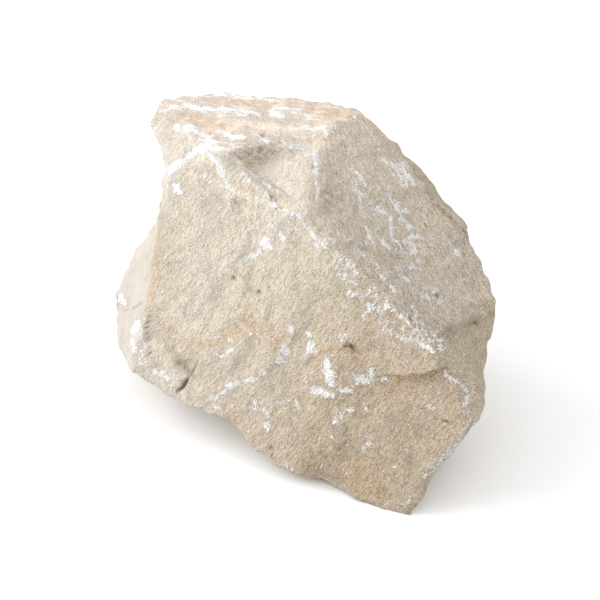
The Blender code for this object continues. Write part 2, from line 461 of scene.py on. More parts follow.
RIDGE_SCARS = (
    (0.9, (-44.6, 92.2), (-36, 85), (-23, 73.4), (-15.8, 66.2), (-1.4, 60.5), (7.2, 50.4), (21.6, 34.6),
     (33, 26), (38.9, 18.7)),
    (2, (-41.8, 91.4), (-36.7, 85.7)),
    (1.6, (-28.8, 91.4), (-21.6, 82.1)),
    (1.2, (-25.2, 77.8), (-22.3, 72.7)),
    (2.3, (-20.2, 69.8), (-18.7, 68.4)),
    (1.6, (-15.1, 65.5), (-7.2, 62.6), (-1.4, 60.5)),
    (1.1, (0.7, 57.6), (4.3, 51.8)),
    (1.3, (5.8, 50.4), (12.2, 43.9), (18, 38.2)),
    (1.2, (18, 44.6), (24.5, 43.2), (25.9, 37.4)),
    (2.4, (31.7, 27.4), (33.8, 25.2)),
    (1.4, (38.2, 20.2), (41, 18.7)),
    (1.7, (38.2, 13.7), (41, 12.2)),
    (1.7, (36, 5), (41, 4.3)),
    (1.7, (50.4, -4.3), (49, -8.6), (46.8, -13)),
    (0.9, (35.3, -2.2), (31.7, -5.8)),
    (2.7, (61.9, -2.9), (64.1, -5)),
    (0.9, (66.2, -6.5), (71.3, -10.8)),
    (1.6, (81.4, -5), (84.2, -10.8)),
    (1, (77, -14.4), (79.9, -19.4)),
    (1.4, (66.2, -20.9), (68.4, -24.5)),
    (1.4, (73.4, -26.6), (79.2, -30.2)),
    (1.4, (91.4, -33.1), (95.8, -36.7)),
    (0.9, (99.4, -29.5), (101.5, -28.8)),
    (0.7, (44.6, 34.6), (54.7, 25.2), (60.5, 15.1), (66.2, 6.5)),
    (0.6, (49.7, 18.7), (53.3, 12.2), (54, 2.2)),
    (1.2, (83.5, -19.4), (88.6, -25.9)),
    (1.2, (46.8, -12.6), (54, -5.4), (63, -1.8), (68.4, -7.2), (75.6, -14.4)),
    (1.4, (64.8, -21.6), (75.6, -30.6), (81, -28.8), (90, -34.2), (97.2, -37.8)),
    (1.5, (93.6, -28.8), (102.6, -27), (100.8, -34.2)),
    (1.1, (84.6, -18), (97.2, -25.2)),
    (0.8, (92.7, -49.5), (97.2, -45)),
    (0.8, (50.4, 7.2), (64.8, -3.6)),
    (0.7, (57.6, 21.6), (64.8, 7.2)),
)
SHOULDER_SCARS = (
    (0.6, (62.6, 100.8), (70.6, 93.6), (79.2, 84.2)),
    (0.5, (66.2, 92.2), (75.6, 81.4)),
    (0.6, (70.6, 98.6), (82.1, 87.8), (86.4, 79.2)),
    (0.8, (42.5, 78.5), (51.1, 69.8), (59.8, 61.2)),
    (0.7, (64.8, 76.3), (72, 68.4), (76.3, 62.6)),
    (0.7, (46.8, 33.1), (56.2, 23), (63.4, 13), (69.1, 5.8)),
    (0.5, (41, 36), (50.4, 27.4), (55.4, 20.2)),
    (0.5, (50.4, 23), (53.3, 14.4), (54, 7.2)),
    (0.6, (74.9, 43.2), (80.6, 38.2)),
    (0.6, (37.4, 97.2), (38.9, 87.8), (41.8, 80.6)),
    (0.7, (37.4, 99.4), (37.4, 91.4), (41, 85)),
    (1.7, (41, 79.2), (44.6, 68.4)),
    (0.9, (46.1, 77.8), (54.7, 65.5)),
    (2.2, (55.4, 67), (59, 62.6)),
    (1.4, (64.1, 75.6), (72.7, 63.4), (76.3, 64.8)),
    (1.4, (72.7, 59), (79.2, 52.6)),
    (1, (47.5, 51.8), (52.6, 39.6)),
    (1.6, (64.1, 58.3), (66.2, 43.2)),
    (1.9, (59, 43.2), (63.4, 37.4)),
    (2, (75.6, 41.8), (79.2, 45.4), (87.1, 44.6)),
    (1.9, (79.9, 33.8), (83.5, 33.8)),
    (1.6, (66.2, 42.5), (73.4, 40.3)),
    (1.7, (80.6, 23), (87.8, 23), (85.7, 27.4)),
    (1.4, (74.9, 15.1), (79.2, 13)),
    (1, (84.2, 16.6), (85, 15.8)),
    (0.9, (94.3, 15.1), (95, 15.1)),
    (1.7, (59.8, 100.1), (69.8, 95.8), (76.3, 83.5)),
    (2.3, (73.4, 97.2), (81.4, 83.5)),
    (1.3, (54.7, 108.7), (59, 107.3)),
    (1.6, (107.3, 42.5), (110.9, 38.9), (114.5, 33.1)),
    (1.2, (120.2, 1.4), (126.7, -1.4)),
    (1.6, (91.4, 4.3), (93.6, 0.7)),
    (1.4, (41, 92.2), (47.5, 82.1)),
)
FRONT_SCARS = (
    (1.3, (-20.9, 54), (-17.3, 49.7)),
    (2.7, (-14.4, 46.8), (-12.2, 45.4)),
    (3.7, (-25.2, 41.8), (-23.8, 39.6)),
    (1.6, (-29.5, 35.3), (-32.4, 32.4)),
    (2.7, (-34.6, 31.7), (-37.4, 30.2)),
    (0.9, (-40.3, 29.5), (-41.8, 28.1)),
    (0.7, (-77.8, 22.3), (-77, 22.3)),
    (0.7, (-74.9, 20.9), (-70.6, 16.6)),
    (0.9, (-60.5, 7.2), (-59, 5.8)),
    (0.9, (-49, -10.8), (-48.2, -11.5)),
    (0.7, (-63.4, -25.9), (-56.2, -27.4)),
    (1.6, (-50.4, -29.5), (-49.7, -29.5)),
    (1.3, (-59.8, -40.3), (-54.7, -39.6), (-49.7, -36)),
    (0.6, (-36.7, -24.5), (-31.7, -25.2), (-33.8, -19.4)),
    (2.9, (-7.2, -20.2), (-5, -22.3)),
    (1.9, (3.6, -24.5), (6.5, -26.6)),
    (3.2, (6.5, -33.1), (7.2, -37.4)),
    (1.7, (5.8, -37.4), (2.9, -42.5)),
    (2.9, (-11.5, -33.8), (-10.8, -36)),
    (1.9, (-13.7, -40.3), (-16.6, -45.4)),
    (1.2, (31, -25.2), (26.6, -31)),
    (3.2, (19.4, -43.9), (20.2, -50.4)),
    (3.6, (21.6, -53.3), (22.3, -59)),
    (2.6, (10.1, -64.8), (16.6, -67), (23.8, -68.4)),
    (2.3, (31, -65.5), (36.7, -65.5)),
    (1.2, (37.4, -63.4), (41.8, -60.5)),
    (2.9, (41.8, -56.2), (47.5, -57.6)),
    (2.9, (51.8, -51.1), (51.1, -55.4)),
    (1.2, (57.6, -56.9), (64.8, -58.3)),
    (1.6, (34.6, -79.2), (38.2, -77)),
    (1, (31.7, -81.4), (28.8, -85)),
    (1.7, (26.6, -87.1), (24.5, -90)),
    (0.7, (46.8, -75.6), (47.5, -79.2)),
)
FOOT_SCARS = (
    (0.9, (-17.3, -74.2), (-10.1, -72.7)),
    (1.7, (-2.2, -74.2), (-0.7, -78.5)),
    (1, (-32.4, -70.6), (-31, -77.8)),
    (1.6, (-31.7, -78.5), (-26.6, -79.9), (-23, -82.8)),
    (2, (-24.5, -87.8), (-22.3, -92.9)),
    (1.9, (-63, -70.5), (-52, -63.5), (-40, -58), (-31, -56.5)),
    (1.7, (-64.8, -71.3), (-56.2, -66.2)),
    (2.7, (-51.8, -63.4), (-44.6, -59.8)),
    (2, (-40.3, -58.3), (-33.1, -57.6)),
    (1.6, (-28.8, -52.6), (-25.2, -51.8)),
    (1.7, (-63.4, -73.4), (-59.8, -77)),
    (0.9, (-47.5, -77), (-46.8, -78.5)),
    (0.9, (24.5, -99.4), (25.2, -100.1)),
    (2, (-117.4, -15.8), (-119.5, -23.8)),
    (2, (-121.7, -28.8), (-117.4, -38.2), (-114.5, -45.4)),
    (1.2, (-112, -12), (-113.5, -25), (-112, -38)),
    (2.2, (-104, -52), (-96, -56.5)),
    (2, (-100.1, -53.3), (-95, -49.7)),
    (1.6, (-95, -58.3), (-92.2, -61.9)),
    (1.9, (-129.6, 1.4), (-126, -2.9)),
    (1.7, (105.1, -53.3), (112.3, -57.6), (118.1, -63.4), (122.4, -67.7)),
    (2.1, (120.2, -69.8), (118.8, -77)),
    (1.2, (90, -75.6), (97.2, -79.2)),
    (0.7, (99.4, -65.5), (98.6, -69.8)),
    (0.9, (121.7, -85), (118.8, -90.7)),
    (1.5, (114, -100), (101.5, -116), (90, -127)),
    (1.3, (81.4, -140), (74.2, -147)),
    (1.4, (60.5, -122.4), (69.8, -120.2)),
    (0.9, (75.6, -108), (76.3, -108.7)),
    (1, (50.4, -145.4), (64.8, -147.6)),
    (0.6, (43.2, -103), (49, -98.6)),
    (0.6, (44.6, -108.7), (51.1, -103.7)),
)
FRONT_VIEW_SCARS = CROWN_SCARS + RIDGE_SCARS + SHOULDER_SCARS + FRONT_SCARS + FOOT_SCARS
print(len(FRONT_VIEW_SCARS), "scars")

# %% Ochre and brown stains, with painted shade among the brown: half width, strength, points
OCHRE = (
    (4.3, 1, (-38.9, -8.6), (-36, -19.4), (-50.4, -25.2), (-73.4, -34.6)),
    (4.3, 1.2, (-27.4, -20.9), (-15.8, -28.1)),
    (3.6, 0.7, (-93.6, -20.9), (-83.5, -31)),
    (2.9, 0.9, (-103.7, -49), (-108, -44.6)),
    (2.2, 0.9, (-36, 79.9), (-34.6, 79.2)),
    (1.9, 1.1, (8.6, -43.9), (18, -36), (32.4, -32.4), (41.8, -38.9), (44.6, -48.2)),
    (5.8, 0.8, (60.5, -57.6), (72.7, -59.8), (85.7, -55.4), (100.8, -51.8)),
    (6.5, 1.7, (38, -123), (46, -129), (52, -133)),
    (5, 0.4, (61.2, -122.4), (70.6, -116.6)),
    (3.6, 0.8, (-54, -82.8), (-46.1, -86.4)),
    (1.8, 1.3, (-100.8, 60), (-101.5, 36), (-106, 10.8), (-109, -5)),
    (2.2, 0.7, (93.6, 75.6), (104.4, 62.6), (115.2, 49)),
    (2.2, 0.6, (75.6, 53.3), (72, 49)),
    (2.2, 0.5, (57.6, -39.6), (63.4, -44.6)),
    (3.6, 0.9, (0, 145.4), (14.4, 135.4), (32.4, 132.5)),
    (3.6, 0.8, (-86.4, 131), (-68.4, 128.9), (-50.4, 126.7)),
    (2.9, 0.8, (-50.4, 144), (-27.4, 141.1)),
    (2.9, 0.6, (25.9, 41), (22.3, 34.6)),
    (2.9, 0.5, (111.6, -72), (109.4, -80.6)),
)
# Some brown rows are painted shade: the hollow under the top's rim, the thin line beside the ridge crest and
# the two broad faint bands beside the bay's crest.
BROWN_AND_SHADE = (
    (1.4, 0.6, (90, 79.2), (100.8, 66.2), (111.6, 56.2), (122.4, 44.6)),
    (6, 0.15, (26, 116), (24, 100), (25, 84), (22, 70)),
    (10, 0.25, (22, 70), (58, 16), (94, -22)),
    (4.4, 0.6, (-37.4, 107.3), (-27.4, 106.6), (-17.3, 110.2)),
    (2.2, 0.9, (33.8, -33.8), (38.2, -35.3)),
    (1.4, 0.8, (-23, 76.3), (-15.8, 66.2)),
    (2.6, 0.35, (-98, -30), (-91, -38), (-85, -48)),
    (9, 0.15, (0, 8), (26, -1)),
    (10, 0.1, (97, 18), (110, 4)),
    (7, 0.14, (-92, 52), (-92, 6)),
    (6.5, 0.5, (8, -119), (18, -110), (31, -105)),
    (4, 0.15, (16, -121), (34, -132)),
)
print(len(OCHRE) + len(BROWN_AND_SHADE), "stains")

# %% Where small flecks of calcite crowd: half width, closeness, points
FLECKED = (
    (3.6, 1, (-92.2, 126.7), (-75.6, 121), (-49, 97.2), (-25.2, 72), (0, 54)),
    (5, 1.6, (0, 54), (18, 38.2), (36, 21.6), (54, 1.4), (72, -14.4), (100.8, -32.4)),
    (5.8, 1, (37.4, 80.6), (49, 69.8), (59, 59)),
    (4.3, 0.8, (66.2, 68.4), (80.6, 64.8)),
    (6.5, 1.1, (44.6, 43.2), (68.4, 39.6), (87.8, 36)),
    (6.5, 1.3, (72, 20.2), (87.8, 10.8), (93.6, 0)),
    (6.5, 1, (32.4, 18), (50.4, 3.6), (70.6, -10.8)),
    (3.6, 0.9, (63.4, 106.6), (75.6, 93.6), (90, 75.6), (113.8, 46.8)),
    (6.5, 1, (18, -43.2), (28.8, -56.2), (57.6, -56.2)),
    (4.3, 0.9, (-1.4, -21.6), (3.6, -36)),
    (3.6, 0.9, (-12.2, -32.4), (-17.3, -44.6)),
    (4.3, 0.9, (28.8, -72), (23, -90)),
    (4.3, 0.8, (-32.4, -75.6), (-23, -90)),
    (4.3, 1.3, (-111.6, -46.8), (-92.2, -56.2)),
    (6.5, 1, (64, -12), (98, -30)),
    (3.6, 1, (-68.4, -73.4), (-51.8, -64.8), (-30.2, -57.6)),
    (4.3, 0.9, (105.8, -95), (93.6, -111.6), (72, -147.6)),
    (5, 1.1, (-95, 85), (-79.2, 100.8), (-61.2, 113.8)),
    (4.3, 0.9, (108, -50.4), (116.6, -63.4), (122.4, -75.6)),
    (3.6, 0.9, (-108, 86.4), (-86.4, 79.2)),
    (3.6, 0.8, (-115.2, -25.2), (-116.6, -39.6), (-108, -51.8)),
    (4.3, 0.8, (100.8, 3.6), (109.4, -3.6)),
    (4.3, 0.7, (57.6, -121), (70.6, -122.4)),
    (5, 0.8, (-54, 36), (-10.8, 54)),
    (4.3, 0.7, (50.4, -28.8), (68.4, -21.6)),
)
print(len(FLECKED), "crowds of flecks")

# %% Cracks: half width, depth, points. Scarps: drop, fade, points, with the dropped rock on the right
GROOVES = (
    (0.8, 1.3, (-107, -8), (-110.5, -18), (-110, -30), (-107, -44)),
    (0.9, 1.6, (-74.9, -45), (-77.5, -51), (-80, -55.5), (-83.5, -61.9)),
    (2, 2.6, (-82, -58), (-84.5, -62.5), (-88, -65.5)),
    (0.7, 1.4, (-20.9, -105.1), (-20.2, -111.6)),
    (0.7, 1.4, (104.4, -85), (105.1, -92.2)),
    (0.9, 1.7, (32.4, -33.8), (36, -31.7), (38.9, -36)),
    (0.6, 1.3, (31, 28.1), (35.3, 20.2)),
    (0.6, 1.2, (-128.2, -7.2), (-121, -7.2), (-113.8, -1.4)),
)
SCARPS = (
    (3, 10, (100, -24), (108, -17), (120.2, -14.4), (135.4, -8.6)),
    (2.8, 8, (-79.9, -55.4), (-85.7, -49), (-91.4, -44.6), (-95.8, -37.4), (-102.2, -32.4)),
    (1.2, 7.2, (-100.8, -32.4), (-98.6, -25.9), (-102.2, -18.7)),
    (1.4, 5.8, (-66.2, -72.7), (-56.2, -66.2), (-44.6, -59)),
    (1.2, 7.2, (-13.7, 65.5), (-19.4, 71.3), (-24.5, 79.2), (-31.7, 85)),
    (1.2, 6.5, (-27.4, -52.6), (-15.8, -44.6), (-7.2, -31), (0, -21.6)),
    (1.3, 7.2, (24.5, -69.1), (33.1, -67.7), (40.3, -61.9), (51.8, -60.5), (66.2, -57.6)),
    (1, 5.8, (10.1, -70.6), (18.7, -72), (28.8, -72)),
    (1.2, 5.8, (18.7, 37.4), (13, 44.6), (4.3, 51.8)),
    (1.2, 6.5, (43.2, 8.6), (38.9, 17.3), (33.1, 24.5), (27.4, 31.7)),
    (1, 5.8, (59, -8.6), (51.8, -2.9), (44.6, 4.3)),
    (1.3, 7.2, (86.4, -33.1), (79.2, -25.9), (70.6, -18.7), (63.4, -11.5)),
    (1.2, 5.8, (2.9, -44.6), (10.1, -37.4), (21.6, -33.8), (32.4, -33.8), (39.6, -36.7), (44.6, -44.6)),
    (0.9, 5.8, (-32.4, -69.1), (-30.2, -77.8), (-21.6, -83.5)),
    (1.2, 6.5, (0, -119.5), (8.6, -113.8), (21.6, -115.2), (33.1, -122.4)),
)
PITS = ((98.6, 3.6), (79.2, -13), (-48.2, 15.8), (-30.2, 5.8), (-26.6, 118.8), (10.1, 95.8), (127.4, -15.8))
print(len(GROOVES), "cracks,", len(SCARPS), "scarps,", len(PITS), "pits")

# %% [markdown]
# ## From strokes to closeness
#
# A stroke is a chain of straight runs. What a finish needs at each point of the skin is how deep inside
# the nearest stroke it lies: that number, in millimetres, is positive inside and negative outside, and a
# material can fray it with noise before it decides where the white starts. The same sum of runs works on
# the flat front view and in space, so the unseen sides use it too.

# %% Closeness to strokes
OUTSIDE = 12.0
SCARP_WIDTH = 2.2


def run_distance(points, start, end):
    """Distance to a straight run: the point's offset less its share along the run, held from 0 to 1."""
    along = np.subtract(end, start)
    offset = points - start
    part = np.clip(offset @ along / max(along @ along, 1e-12), 0, 1)
    return np.linalg.norm(offset - part[:, None] * along, axis=1)


def chain_distance(points, chain):
    """Distance to the nearest of a chain's runs; a chain of one point is a dot."""
    ends = chain[1:] or chain
    return np.minimum.reduce([run_distance(points, start, end) for start, end in zip(chain, ends)])


def inside_scars(points, scars):
    """Depth inside the nearest scar: its half width less the distance to its chain."""
    depths = [half_width - chain_distance(points, chain) for half_width, *chain in scars]
    return np.maximum(np.maximum.reduce(depths), -OUTSIDE)


def stained(points, stains):
    """Strength of the stains: each one's strength times a bell curve of distance over its half width."""
    bells = [strength * np.exp(-(chain_distance(points, chain) / half_width) ** 2 / 2)
             for half_width, strength, *chain in stains]
    return np.clip(np.add.reduce(bells), 0, 1)


def carved(points, grooves):
    """Depth of the grooves: a V as deep as each says, as wide as its half width on each side."""
    depths = [depth * np.clip(1 - chain_distance(points, chain) / half_width, 0, 1)
              for half_width, depth, *chain in grooves]
    return np.maximum.reduce(depths)


def dropped(points, scarps):
    """Depth to which scarps drop the rock. The nearest run of a chain tells the side: across the run, the
    drop sets in over SCARP_WIDTH, and with the distance it fades by a falling exponential."""
    depths = []
    for drop, fade, *chain in scarps:
        nearest, across = np.full(len(points), np.inf), np.zeros(len(points))
        for start, end in zip(chain, chain[1:]):
            way = np.subtract(end, start) / math.dist(start, end)
            distance = run_distance(points, start, end)
            side = (points - start) @ (way[1], -way[0])
            across = np.where(distance < nearest, side, across)
            nearest = np.minimum(distance, nearest)
        depths.append(drop * np.clip(across / SCARP_WIDTH, 0, 1) * np.exp(-nearest / fade))
    return np.maximum.reduce(depths)


nearest_scar = -float(inside_scars(np.zeros((1, 2)), FRONT_VIEW_SCARS)[0])
print("from the middle of the front view, the nearest scar is", round(nearest_scar), "mm away")

# %% [markdown]
# ## Which way the skin faces
#
# Marks in the front view belong only on what that view sees, so the skin's directions are needed before
# there is a mesh. A face's direction is the cross product of its diagonals, and a point's is the sum over
# its faces.

# %% Directions of the skin, and neighbours


def directions(points, faces):
    """Unit normals: each face's diagonals are crossed, and the results are summed at the face's corners."""
    corners = points[faces]
    crossed = np.cross(corners[:, 2] - corners[:, 0], corners[:, 3] - corners[:, 1])
    summed = np.stack([np.bincount(faces.ravel(), np.repeat(crossed[:, axis], 4), len(points))
                       for axis in range(3)], axis=1)
    return summed / np.linalg.norm(summed, axis=1)[:, None]


def neighbour_pairs(faces):
    """Each edge of the grid, once: the sorted pairs of neighbouring corners."""
    pairs = np.concatenate([faces[:, [side, (side + 1) % 4]] for side in range(4)])
    return np.unique(np.sort(pairs, axis=1), axis=0)


def smoothed(points, pairs, rounds):
    """Points drawn to the mean of their neighbours, again and again."""
    first, second = pairs.T
    count = np.bincount(pairs.ravel(), minlength=len(points))
    for _ in range(rounds):
        sums = [np.bincount(first, points[second, axis], len(points))
                + np.bincount(second, points[first, axis], len(points)) for axis in range(3)]
        points = np.stack(sums, axis=1) / count[:, None]
    return points


normals = directions(skin, faces)
to_eye = EYE - skin
facing_eye = (normals * to_eye).sum(axis=1) / np.linalg.norm(to_eye, axis=1)
pairs = neighbour_pairs(faces)
print(round(float((facing_eye > 0).mean()), 2), "of the skin faces the camera;", len(pairs), "edges")

# %% [markdown]
# ## Scars and cracks on the unseen sides
#
# The front view doesn't see the back, the far right or the underside, but they broke as the front did. Rows
# of numbers for them would only be guesses, so there scars are scattered in families: each starts on an
# edge, wanders over the skin, and has a few short ones beside it, as on the seen side. A second draw gives
# the cracks.

# %% Scars on the unseen sides
FAMILIES, FAMILY_SCARS, FAMILY_SPREAD = 46, 5, 0.017
STEP, STEP_RANGE, MOST_STEPS, SWERVE = 0.006, (0.4, 1.3), 5, 0.7
HALF_WIDTHS = (0.3, 1.9)                           # millimetres
CRACKS_TAKEN = 5                                   # one chain in five of the second draw becomes a crack
AWAY_FROM_EDGES = 0.0002                           # chance of a start on a flat, beside an edge's sharpness
EVENING_ROUNDS = 10
SEEN_ABOVE = 0.05                                  # cosine between the skin's direction and the eye's


def scattered_scars(points, normals, sharpness, seed):
    """Rows of a half width and a chain of points, in millimetres. A chain starts near the start of its
    family and takes a few steps; every step turns a little and is laid flat on the skin it leaves."""
    chance = np.random.default_rng(seed)
    likely = np.clip(sharpness, 0, None) + AWAY_FROM_EDGES
    scars = []
    for start in chance.choice(len(points), FAMILIES, p=likely / likely.sum()):
        family_way = chance.normal(size=3)
        near = np.flatnonzero(np.linalg.norm(points - points[start], axis=1) < FAMILY_SPREAD)
        for at in chance.choice(near, chance.integers(1, FAMILY_SCARS + 1)):
            chain = [points[at]]
            for _ in range(chance.integers(1, MOST_STEPS)):
                way = family_way + chance.normal(size=3) * SWERVE
                way -= normals[at] * (way @ normals[at])
                ahead = chain[-1] + way / np.linalg.norm(way) * STEP * chance.uniform(*STEP_RANGE)
                at = near[np.argmin(np.linalg.norm(points[near] - ahead, axis=1))]
                chain.append(points[at])
            scars.append((chance.uniform(*HALF_WIDTHS), *(point / MILLIMETRE for point in chain)))
    return scars


even = smoothed(skin, pairs, EVENING_ROUNDS)
sharpness = ((skin - even) * normals).sum(axis=1)
unseen = np.flatnonzero(facing_eye < SEEN_ABOVE)
far_scars = scattered_scars(skin[unseen], normals[unseen], sharpness[unseen], seed=11)
far_cracks = scattered_scars(skin[unseen], normals[unseen], sharpness[unseen], seed=12)[::CRACKS_TAKEN]
print(len(far_scars), "scars and", len(far_cracks), "cracks scattered over", len(unseen), "unseen points")

# %% [markdown]
# ## Marking
#
# Each mark becomes one number at every point of the skin, to be written on the mesh as an attribute. A mask
# painted on a UV map could hold them too, but it would need a seam. The front view's strokes are moved a
# little by lumps before they are read, so that a straight run tears as rock does.

# %% Scars, flecks, stains and painted shade
TEAR_SIZE, TEAR_SEEDS, TEAR = 0.005, (51, 52), 1.6
FLECKS_FADE = 4.0
STAIN_SIZE, STAIN_FLOOR = 0.034, 0.3


def far_stains(points, seed, gain, most):
    """Stains on the unseen sides: lumps times a gain, less a floor, held from 0 to the most."""
    return np.clip(gain * lumps(points, STAIN_SIZE, seed) - STAIN_FLOOR, 0, most)


seen = np.flatnonzero(facing_eye >= SEEN_ABOVE)
sheet = front_view(skin)[seen]
far = skin[unseen]
tears = np.stack([lumps(skin[seen], TEAR_SIZE, seed) for seed in TEAR_SEEDS], axis=1) * TEAR
calcite, flecked, ochre, brown_and_shade, crack_and_shade = np.zeros((5, len(skin)))
calcite[seen] = inside_scars(sheet + tears, FRONT_VIEW_SCARS)
calcite[unseen] = inside_scars(far / MILLIMETRE, far_scars)
flecked[seen] = stained(sheet, FLECKED)
flecked[unseen] = np.exp(calcite[unseen] / FLECKS_FADE)
ochre[seen] = stained(sheet, OCHRE)
ochre[unseen] = far_stains(far, seed=54, gain=1.5, most=0.8)
brown_and_shade[seen] = stained(sheet, BROWN_AND_SHADE)
brown_and_shade[unseen] = far_stains(far, seed=57, gain=1.2, most=0.4)
print("share of the skin under scars:", round(float((calcite > 0).mean()), 3),
      "and under stains:", round(float((ochre > STAIN_FLOOR).mean()), 3))

# %% [markdown]
# ## Carving
#
# Cracks, pits and scarps are real hollows, because a bump alone would leave the outline straight and cast no
# shadow. Every point is sunk along the skin's direction. A scarp's drop is made ragged by lumps, and a
# painted shade is laid under it. The cracks and pits are painted darker by their depth, a painted shade in
# them.

# %% Sink the cracks, pits and scarps
PIT_HALF, PIT_DEPTH = 2.1, 2.0
FAR_CRACK_HALF, FAR_CRACK_DEPTH = 1.1, 1.8
SHADE_UNDER_SCARPS = 0.3                                 # painted shade under a drop, as a share of its depth
RAGGED_SIZE, RAGGED_SEED = 0.009, 53
RAGGED_MEAN, RAGGED, RAGGED_MOST = 0.8, 0.7, 1.4

crack_and_shade[seen] = carved(sheet, GROOVES + tuple((PIT_HALF, PIT_DEPTH, pit) for pit in PITS))
crack_and_shade[unseen] = carved(far / MILLIMETRE,
                       [(FAR_CRACK_HALF, FAR_CRACK_DEPTH, *chain) for _, *chain in far_cracks])
ragged = RAGGED_MEAN + RAGGED * lumps(skin[seen], RAGGED_SIZE, RAGGED_SEED)
under = dropped(sheet, SCARPS) * np.clip(ragged, 0, RAGGED_MOST)
depth = crack_and_shade.copy()
depth[seen] += under
# The drop's share goes into the crack colour as a painted shade under it.
crack_and_shade[seen] += under * SHADE_UNDER_SCARPS
skin = skin - normals * (depth * MILLIMETRE)[:, None]
skin[:, 2] = np.maximum(skin[:, 2], 0)
print("deepest carving", round(float(depth.max()), 1), "mm")

# %% [markdown]
# ## The skin as a mesh
#
# The grid becomes one closed mesh. It could be smooth or faceted; broken stone is neither, but its facets
# are far smaller than a millimetre, so smooth shading with a fine bump comes closer.

# %% Make the stone
SEEN_EDGES = 0.5          # the seen side's edges have scars of their own, so their white crust is thinner

stone_mesh = bpy.data.meshes.new("stone_skin")
stone_mesh.from_pydata(skin, [], faces.tolist())
stone_mesh.shade_smooth()
marks = {"calcite": calcite, "flecked": flecked, "ochre": ochre, "brown_and_shade": brown_and_shade, "crack_and_shade": crack_and_shade,
         "sharpness": sharpness / MILLIMETRE * np.where(facing_eye < SEEN_ABOVE, 1, SEEN_EDGES),
         **{name.replace(" ", "_"): values for name, values in shares.items()}}
for name, values in marks.items():
    stone_mesh.attributes.new(name, "FLOAT", "POINT").data.foreach_set("value", values.astype(np.float32))
stone = bpy.data.objects.new("rockery_stone", stone_mesh)
bpy.context.scene.collection.objects.link(stone)
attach(stone, "root")
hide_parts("stone")
print(stone.name, "has", len(stone_mesh.vertices), "points and", 2 * len(stone_mesh.polygons), "triangles")

# %% [markdown]
# ## Writing a material as sums
#
# A material's nodes can be joined by hand in the Shader Editor, but a long sum soon covers the screen.
# Here a small class wraps an output socket, so that a sum in Python adds its Math nodes, and one method
# adds any other node.

# %% Sockets that can be added and multiplied


class Wire:
    """An output socket of a material's node. Arithmetic on it adds Math nodes."""

    def __init__(self, material, socket):
        self.material = material
        self.socket = socket

    def math(self, operation, *values):
        """A Math node on these values, in their order."""
        return self.material.add("ShaderNodeMath", {"operation": operation}, dict(enumerate(values)))

    def __add__(self, other):
        return self.math("ADD", self, other)

    def __sub__(self, other):
        return self.math("SUBTRACT", self, other)

    def __rsub__(self, other):
        return self.math("SUBTRACT", other, self)

    def __mul__(self, other):
        return self.math("MULTIPLY", self, other)

    def over(self, low, high):
        """0 below one value, 1 above another, and a smooth rise between them."""
        inputs = {"Value": self, "From Min": low, "From Max": high}
        return self.material.add("ShaderNodeMapRange", {"interpolation_type": "SMOOTHSTEP"}, inputs)

    __radd__, __rmul__ = __add__, __mul__


class Material:
    """A node material on a Principled shader."""

    def __init__(self, name):
        self.data = bpy.data.materials.new(name)
        self.data.use_nodes = True
        self.tree = self.data.node_tree
        self.shader = self.tree.nodes["Principled BSDF"]

    def add(self, kind, settings, inputs, output=0):
        """Add a node: its settings first, then values or wires for its sockets. Gives back one output."""
        node = self.tree.nodes.new(kind)
        for name, value in settings.items():
            setattr(node, name, value)
        self.feed(node, inputs)
        return Wire(self, node.outputs[output])

    def feed(self, node, inputs):
        """Put a value or a wire into each named or numbered socket."""
        for name, value in inputs.items():
            if isinstance(value, Wire):
                self.tree.links.new(value.socket, node.inputs[name])
            else:
                node.inputs[name].default_value = value

    def attribute(self, name):
        """A number kept at each point of the mesh."""
        return self.add("ShaderNodeAttribute", {"attribute_name": name}, {}, output="Fac")

    def mix(self, low, high, share):
        """One colour at share 0 and another at share 1."""
        settings = {"data_type": "RGBA", "clamp_factor": True}
        return self.add("ShaderNodeMix", settings, {"Factor": share, 6: low, 7: high}, output=2)

    def noise(self, where, size, detail=2.0, roughness=0.5):
        """Lumps of about this size, from -1 to 1."""
        inputs = {"Vector": where, "Scale": 1 / size, "Detail": detail, "Roughness": roughness}
        return (self.add("ShaderNodeTexNoise", {}, inputs) - 0.5) * NOISE_GAIN

    def stretched(self, where, turn, stretch):
        """Coordinates for a pattern drawn out along its own first axis, which is turned first."""
        inputs = {"Vector": where, "Rotation": turn, "Scale": (stretch, 1, 1)}
        return self.add("ShaderNodeMapping", {"vector_type": "TEXTURE"}, inputs)


NOISE_GAIN = 4.0
print("materials can be written as sums")

# %% [markdown]
# ## The colours of the rock
#
# The rock is a warm dun, but hardly two breaks of the stone are the same: soil, sun and the way the rock
# split have each left their own tint. The colours are chosen as a paint maker would, from 0 to 255, and
# turned into light before they are mixed.

# %% Colours of the rock


def paint(red, green, blue):
    """A colour given as on a screen, from 0 to 255, as the light it stands for."""
    return (*(((value / 255 + 0.055) / 1.055) ** 2.4 for value in (red, green, blue)), 1)


DUN = paint(210, 199, 183)
BROWN_DUN = paint(187, 171, 150)
GREY_DUN = paint(199, 187, 171)
PINK_DUN = paint(208, 194, 180)
PALE_DUN = paint(214, 204, 191)
# The bay floor's dun is paler than the rest of the rock, a painted highlight for the light that it catches.
LIT_BAY_DUN = paint(231, 218, 203)
CROWN_DUN = paint(192, 181, 166)
CREAM = paint(179, 172, 163)
CALCITE = paint(238, 238, 237)
OCHRE_STAIN = paint(197, 167, 132)
UMBER = paint(122, 102, 79)
print("dun as light:", [round(value, 3) for value in DUN[:3]])

# %% [markdown]
# ## Painted shade, browner rock, bands and stains
#
# It is darker and browner to the right and towards the foot, a painted shade away from the lamp, and browner
# behind. The right shoulder is greyer and streaked, the top is banded with pink, ochre and white, the bay is
# pinker and painted paler, a painted highlight, and the slab and the crown are creamy. One picture wrapped
# round the stone would stretch and show a seam; nodes on Object coordinates go right through the rock, as the
# real colours do, and the attributes say where each lies.

